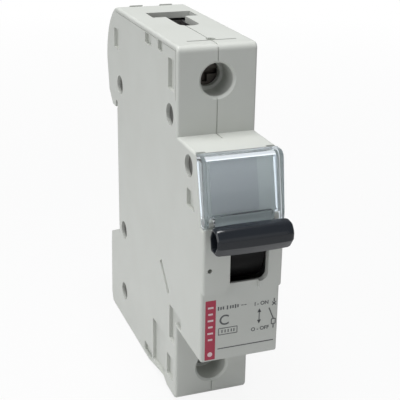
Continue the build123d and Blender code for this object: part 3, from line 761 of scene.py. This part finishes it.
@dataclass
class PrintedPanel:
    """The marks printed on the lower front of the nose, in millimetres.

    Args:
        depth: How far the panel stands in front of the rail seat.
        ink: The ink's thickness.
        stripe_low: The red stripe's lower left corner, as (x, z).
        stripe_high: Its upper right corner.
        mark_top: Height of the stripe's first pale mark.
        mark_count: How many pale marks there are.
        mark_pitch: The distance between them.
        mark_reaches: Half the length of every other mark, in turn.
        mark_width: Their width.
        dot_height: Height of the dot at the stripe's foot.
        dot_radius: Its radius.
        row_height: Height of the rating row's middle.
        row_ticks: Where its ticks stand.
        row_tick_sizes: The height of every third tick and of the others.
        row_dashes: Where the dashes behind the ticks start.
        box_low: The setting box's lower left corner.
        box_high: Its upper right corner.
        box_ticks: Where its ticks stand.
        box_margin: The gap between the ticks and the box, above and below.
        arrow_x: Where the vertical arrow stands.
        arrow_tips: Its two tips, as (height, way that its head widens).
        arrow_head: Half the width and the length of its heads.
        pole_x: Where the one-pole switch symbol's line stands.
        pole_half: Half the width of the symbol's cross and box.
        rule: The left end, right end and height of the plain rule at the foot.
        words: Each word's piece name, letters, left end, foot and size.
        boldness: How much the letters are thickened.
    """

    depth: float = 62.3
    ink: float = 0.03
    stripe_low: Point2 = (-7.8, -22.2)
    stripe_high: Point2 = (-5.5, -8.25)
    mark_top: float = -9.9
    mark_count: int = 6
    mark_pitch: float = 1.5
    mark_reaches: Point2 = (0.62, 0.5)
    mark_width: float = 0.42
    dot_height: float = -20.9
    dot_radius: float = 0.55
    row_height: float = -10.35
    row_ticks: tuple[float, ...] = (-4.9, -4.35, -3.8, -2.9, -2.2, -1.65, -1.1, -0.55)
    row_tick_sizes: Point2 = (0.9, 0.7)
    row_dashes: Point2 = (0.2, 0.9)
    box_low: Point2 = (-4.8, -16.6)
    box_high: Point2 = (-0.6, -15.1)
    box_ticks: tuple[float, ...] = (-4.0, -3.3, -2.6, -1.9, -1.3)
    box_margin: float = 0.4
    arrow_x: float = 4.4
    arrow_tips: tuple[Point2, Point2] = ((-11.8, -1.0), (-15.4, 1.0))
    arrow_head: Point2 = (0.45, 0.9)
    pole_x: float = 7.75
    pole_half: float = 0.45
    rule: tuple[float, float, float] = (-4.9, 7.9, -19.9)
    words: tuple[tuple[str, str, float, float, float], ...] = (
        ("letter_curve", "C", -4.75, -14.3, 3.3),
        ("letters_on", "I - ON", 3.2, -11.0, 1.2),
        ("letters_off", "O - OFF", 2.6, -17.0, 1.2),
    )
    boldness: float = 0.025

    def patch(self, bm: bmesh.types.BMesh, points: list[Point2], lift: float = 0.0) -> None:
        """Add one thin raised patch of ink.

        Args:
            bm: The mesh that gets it.
            points: The patch's outline as (x, z).
            lift: Extra height, where ink lies on ink.
        """
        front = -(self.depth + self.ink + lift)
        back = -(self.depth - self.ink)
        loft(bm, [[Vector((x, y, z)) * MM for x, z in points] for y in (back, front)])

    def bar(self, bm: bmesh.types.BMesh, start: Point2, end: Point2, width: float, lift: float = 0.0) -> None:
        """Add a straight printed line.

        Args:
            bm: The mesh that gets it.
            start: One end.
            end: The other end.
            width: The line's width.
            lift: Extra height, where ink lies on ink.
        """
        a, b = Vector(start), Vector(end)
        along = (b - a).normalized()
        side = Vector((-along.y, along.x)) * (width / 2)
        self.patch(bm, [tuple(a + side), tuple(b + side), tuple(b - side), tuple(a - side)], lift)

    def disc(self, bm: bmesh.types.BMesh, centre: Point2, radius: float, lift: float = 0.0) -> None:
        """Add a printed disc.

        Args:
            bm: The mesh that gets it.
            centre: Its centre.
            radius: Its radius.
            lift: Extra height, where ink lies on ink.
        """
        x, z = centre
        turns = [2 * math.pi * step / 20 for step in range(20)]
        self.patch(bm, [(x + radius * math.cos(turn), z + radius * math.sin(turn)) for turn in turns], lift)

    def frame(self, bm: bmesh.types.BMesh, low: Point2, high: Point2, width: float) -> None:
        """Add a printed outline box.

        Args:
            bm: The mesh that gets it.
            low: Its lower left corner.
            high: Its upper right corner.
            width: The line's width.
        """
        corners = [low, (high[0], low[1]), high, (low[0], high[1])]
        for index, corner in enumerate(corners):
            self.bar(bm, corner, corners[(index + 1) % len(corners)], width)

    def finish_piece(self, bm: bmesh.types.BMesh, name: str, finish: Finish) -> None:
        """Turn the marks of one ink into a piece.

        Args:
            bm: The marks.
            name: The piece's name.
            finish: The ink.
        """
        piece = to_object(bm, name, finish)
        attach(piece, "housing")
        log.info("printed %s", name)

    def build_stripe(self) -> None:
        """Print the red stripe down the left edge, with plain pale marks."""
        (left, foot), (right, top) = self.stripe_low, self.stripe_high
        middle = (left + right) / 2
        stripe = bmesh.new()
        self.patch(stripe, [(left, foot), (right, foot), (right, top), (left, top)])
        self.finish_piece(stripe, "red_stripe", INK_RED)
        marks = bmesh.new()
        for step in range(self.mark_count):
            z = self.mark_top - step * self.mark_pitch
            reach = self.mark_reaches[step % 2]
            self.bar(marks, (middle - reach, z), (middle + reach, z), self.mark_width, self.ink)
        self.disc(marks, (middle, self.dot_height), self.dot_radius, self.ink)
        self.finish_piece(marks, "stripe_marks", INK_WHITE)

    def print_ratings(self, marks: bmesh.types.BMesh) -> None:
        """Add the rating row and the setting box, both with plain ticks.

        Args:
            marks: The mesh that gets them.
        """
        tall, short = self.row_tick_sizes
        for index, x in enumerate(self.row_ticks):
            half = (short if index % 3 else tall) / 2
            self.bar(marks, (x, self.row_height - half), (x, self.row_height + half), 0.3)
        for x in self.row_dashes:
            self.bar(marks, (x, self.row_height), (x + 0.5, self.row_height), 0.16)
        self.frame(marks, self.box_low, self.box_high, 0.16)
        foot, top = self.box_low[1] + self.box_margin, self.box_high[1] - self.box_margin
        for x in self.box_ticks:
            self.bar(marks, (x, foot), (x, top), 0.24)

    def print_arrow(self, marks: bmesh.types.BMesh) -> None:
        """Add the vertical arrow between the on and off strokes.

        Args:
            marks: The mesh that gets it.
        """
        x = self.arrow_x
        half, length = self.arrow_head
        self.bar(marks, (x, -15.0), (x, -12.2), 0.18)
        for z, way in self.arrow_tips:
            base = z + way * length
            self.patch(marks, [(x, z), (x - half, base), (x + half, base)])

    def print_pole(self, marks: bmesh.types.BMesh) -> None:
        """Add the one-pole switch symbol at the right edge: line, cross, arm, box and line.

        Args:
            marks: The mesh that gets it.
        """
        x, left, right = self.pole_x, self.pole_x - self.pole_half, self.pole_x + self.pole_half
        self.bar(marks, (x, -10.7), (x, -9.9), 0.24)
        self.bar(marks, (left, -10.7), (right, -11.5), 0.2)
        self.bar(marks, (left, -11.5), (right, -10.7), 0.2)
        self.bar(marks, (6.6, -12.0), (7.7, -14.7), 0.24)
        self.frame(marks, (left, -16.0), (right, -14.8), 0.2)
        self.bar(marks, (x, -17.0), (x, -16.1), 0.24)

    def build_symbols(self) -> None:
        """Print the dark line symbols and the plain rule at the panel's foot."""
        marks = bmesh.new()
        self.print_ratings(marks)
        self.print_arrow(marks)
        self.print_pole(marks)
        left, right, height = self.rule
        self.bar(marks, (left, height), (right, height), 0.22)
        self.finish_piece(marks, "printed_symbols", INK_DARK)

    def build_words(self) -> None:
        """Print the generic on, off and trip curve letters."""
        for name, body, x, z, size in self.words:
            curve = bpy.data.curves.new(name, "FONT")
            curve.body = body
            curve.size = size * MM
            curve.extrude = self.ink * MM
            curve.offset = self.boldness * MM
            text = bpy.data.objects.new(f"{name}_outline", curve)
            text.rotation_euler = (math.pi / 2, 0.0, 0.0)
            text.location = Vector((x, -self.depth, z)) * MM
            bpy.context.scene.collection.objects.link(text)
            bpy.context.view_layer.update()
            ready = text.evaluated_get(bpy.context.evaluated_depsgraph_get())
            mesh = bpy.data.meshes.new_from_object(ready)
            mesh.transform(text.matrix_world)
            bm = bmesh.new()
            bm.from_mesh(mesh)
            bpy.data.objects.remove(text)
            bpy.data.meshes.remove(mesh)
            self.finish_piece(bm, name, INK_DARK)

    def build(self) -> None:
        """Print the whole panel."""
        self.build_stripe()
        self.build_symbols()
        self.build_words()


# ---------------------------------------------------------------- stage


@dataclass
class Studio:
    """The camera, lights, floor and backdrop.

    Args:
        target: The point that the camera looks at, in millimetres.
        azimuth: Camera azimuth in degrees; 0 looks along +Y.
        elevation: Camera elevation in degrees.
        roll: Camera roll in degrees.
        distance: Camera distance in millimetres.
        lens: Focal length in millimetres.
        sensor: Width of the camera's sensor in millimetres.
        floor_half: Half the floor's side, in metres.
        floor_grey: The floor's own level.
        floor_white: How white the camera sees the floor, as (distance in metres, share) near and far.
        floor_mirrored: How white gloss sees the floor, in the same way.
        world_tint: The world's colour.
        world_strength: Its strength.
        lamps: Each soft lamp's name, place, side in metres and power in watts.
        aim: The point that the lamps face, in metres.
    """

    target: tuple[float, float, float] = (5.252, -23.016, -2.002)
    azimuth: float = -20.42
    elevation: float = 21.43
    roll: float = 0.89
    distance: float = 233.2
    lens: float = 86.17
    sensor: float = 36.0
    floor_half: float = 3.0
    floor_grey: float = 0.62
    floor_white: tuple[Point2, Point2] = ((0.10, 0.90), (0.45, 1.0))
    floor_mirrored: tuple[Point2, Point2] = ((0.07, 0.6), (0.14, 0.0))
    world_tint: Colour = (0.93, 0.96, 1.0)
    world_strength: float = 0.27
    lamps: tuple[tuple[str, Colour, float, float], ...] = (
        ("overhead", (-0.05, -0.03, 0.55), 0.26, 2.9),
        ("left_fill", (-0.55, -0.10, 0.15), 0.5, 1.42),
        ("front_fill", (0.10, -0.60, 0.12), 0.5, 0.34),
    )
    aim: Colour = (0.0, -0.02, 0.0)

    def build_camera(self) -> None:
        """Place the camera."""
        a, e, r = (math.radians(v) for v in (self.azimuth, self.elevation, self.roll))
        back = Vector((math.sin(a) * math.cos(e), -math.cos(a) * math.cos(e), math.sin(e)))
        right = (-back).cross(Vector((0, 0, 1))).normalized()
        up = right.cross(-back)
        side = right * math.cos(r) + up * math.sin(r)
        top = -right * math.sin(r) + up * math.cos(r)
        data = bpy.data.cameras.new("camera")
        data.lens = self.lens
        data.sensor_width = self.sensor
        data.clip_start = 0.005
        camera = bpy.data.objects.new("camera", data)
        bpy.context.scene.collection.objects.link(camera)
        place = (Vector(self.target) + back * self.distance) * MM
        camera.matrix_world = Matrix.Translation(place) @ Matrix((side, top, back)).transposed().to_4x4()
        bpy.context.scene.camera = camera

    def build_lamp(self, name: str, place: Colour, side: float, power: float) -> None:
        """Add a soft area lamp.

        Args:
            name: Its name.
            place: Its place, in metres.
            side: Its side, in metres.
            power: Its power, in watts.
        """
        data = bpy.data.lights.new(name, "AREA")
        data.size = side
        data.energy = power
        lamp = bpy.data.objects.new(name, data)
        bpy.context.scene.collection.objects.link(lamp)
        lamp.location = place
        lamp.rotation_mode = "QUATERNION"
        lamp.rotation_quaternion = (Vector(self.aim) - Vector(place)).to_track_quat("-Z", "Y")

    def floor_material(self) -> bpy.types.Material:
        """Make pale paper that takes shadows, and that the camera and gloss see as nearly white."""
        material = bpy.data.materials.new("floor_paper")
        material.use_nodes = True
        tree = material.node_tree
        shader = tree.nodes["Principled BSDF"]
        shader.inputs["Base Color"].default_value = (self.floor_grey, self.floor_grey, self.floor_grey, 1.0)
        shader.inputs["Roughness"].default_value = 0.9
        white = add(tree, "Emission")
        white.inputs["Color"].default_value = (1.0, 1.0, 1.0, 1.0)
        path = add(tree, "LightPath")
        place = add(tree, "TexCoord")
        reach = add(tree, "VectorMath", operation="LENGTH")
        tree.links.new(place.outputs["Object"], reach.inputs[0])
        distance = reach.outputs["Value"]
        seen = calculate(
            tree, "MULTIPLY", path.outputs["Is Camera Ray"], ramp(tree, distance, *self.floor_white)
        )
        mirrored = calculate(
            tree, "MULTIPLY", ramp(tree, distance, *self.floor_mirrored), path.outputs["Is Glossy Ray"]
        )
        mix = add(tree, "MixShader")
        tree.links.new(calculate(tree, "MAXIMUM", seen, mirrored), mix.inputs["Fac"])
        tree.links.new(shader.outputs["BSDF"], mix.inputs[1])
        tree.links.new(white.outputs["Emission"], mix.inputs[2])
        tree.links.new(mix.outputs["Shader"], tree.nodes["Material Output"].inputs["Surface"])
        return material

    def build_floor(self, height: float) -> None:
        """Lay the pale floor.

        Args:
            height: The floor's height in metres.
        """
        bm = bmesh.new()
        bmesh.ops.create_grid(bm, x_segments=8, y_segments=8, size=self.floor_half)
        mesh = bpy.data.meshes.new("floor")
        bm.to_mesh(mesh)
        bm.free()
        floor = bpy.data.objects.new("floor", mesh)
        floor.location.z = height
        bpy.context.scene.collection.objects.link(floor)
        mesh.materials.append(self.floor_material())
        floor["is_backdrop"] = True

    def build_world(self) -> None:
        """Make a soft grey world that the camera and glass see as white."""
        world = bpy.data.worlds.new("world")
        bpy.context.scene.world = world
        world.use_nodes = True
        tree = world.node_tree
        soft = tree.nodes["Background"]
        soft.inputs["Color"].default_value = (*self.world_tint, 1.0)
        soft.inputs["Strength"].default_value = self.world_strength
        bright = add(tree, "Background")
        bright.inputs["Color"].default_value = (1.0, 1.0, 1.0, 1.0)
        bright.inputs["Strength"].default_value = 1.0
        path = add(tree, "LightPath")
        seen = calculate(
            tree, "MAXIMUM", path.outputs["Is Camera Ray"], path.outputs["Is Transmission Ray"]
        )
        mix = add(tree, "MixShader")
        tree.links.new(seen, mix.inputs["Fac"])
        tree.links.new(soft.outputs["Background"], mix.inputs[1])
        tree.links.new(bright.outputs["Background"], mix.inputs[2])
        tree.links.new(mix.outputs["Shader"], tree.nodes["World Output"].inputs["Surface"])

    def build(self, floor_height: float) -> None:
        """Build the whole studio.

        Args:
            floor_height: The floor's height in metres.
        """
        self.build_camera()
        self.build_world()
        self.build_floor(floor_height)
        for name, place, side, power in self.lamps:
            self.build_lamp(name, place, side, power)
        bpy.context.scene.view_settings.view_transform = "Standard"


def main() -> None:
    """Build every sub-assembly around the frame and report each piece."""
    logging.basicConfig(level=logging.INFO, format="%(name)s: %(message)s")
    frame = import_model()
    cad_low, cad_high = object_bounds()
    Studio().build(cad_low.z - FLOOR_GAP * MM)
    CarriedNodes().dress(frame["nodes"])
    Toggle().build()
    LabelCard().build()
    PrintedPanel().build()


if __name__ == "__main__":
    main()
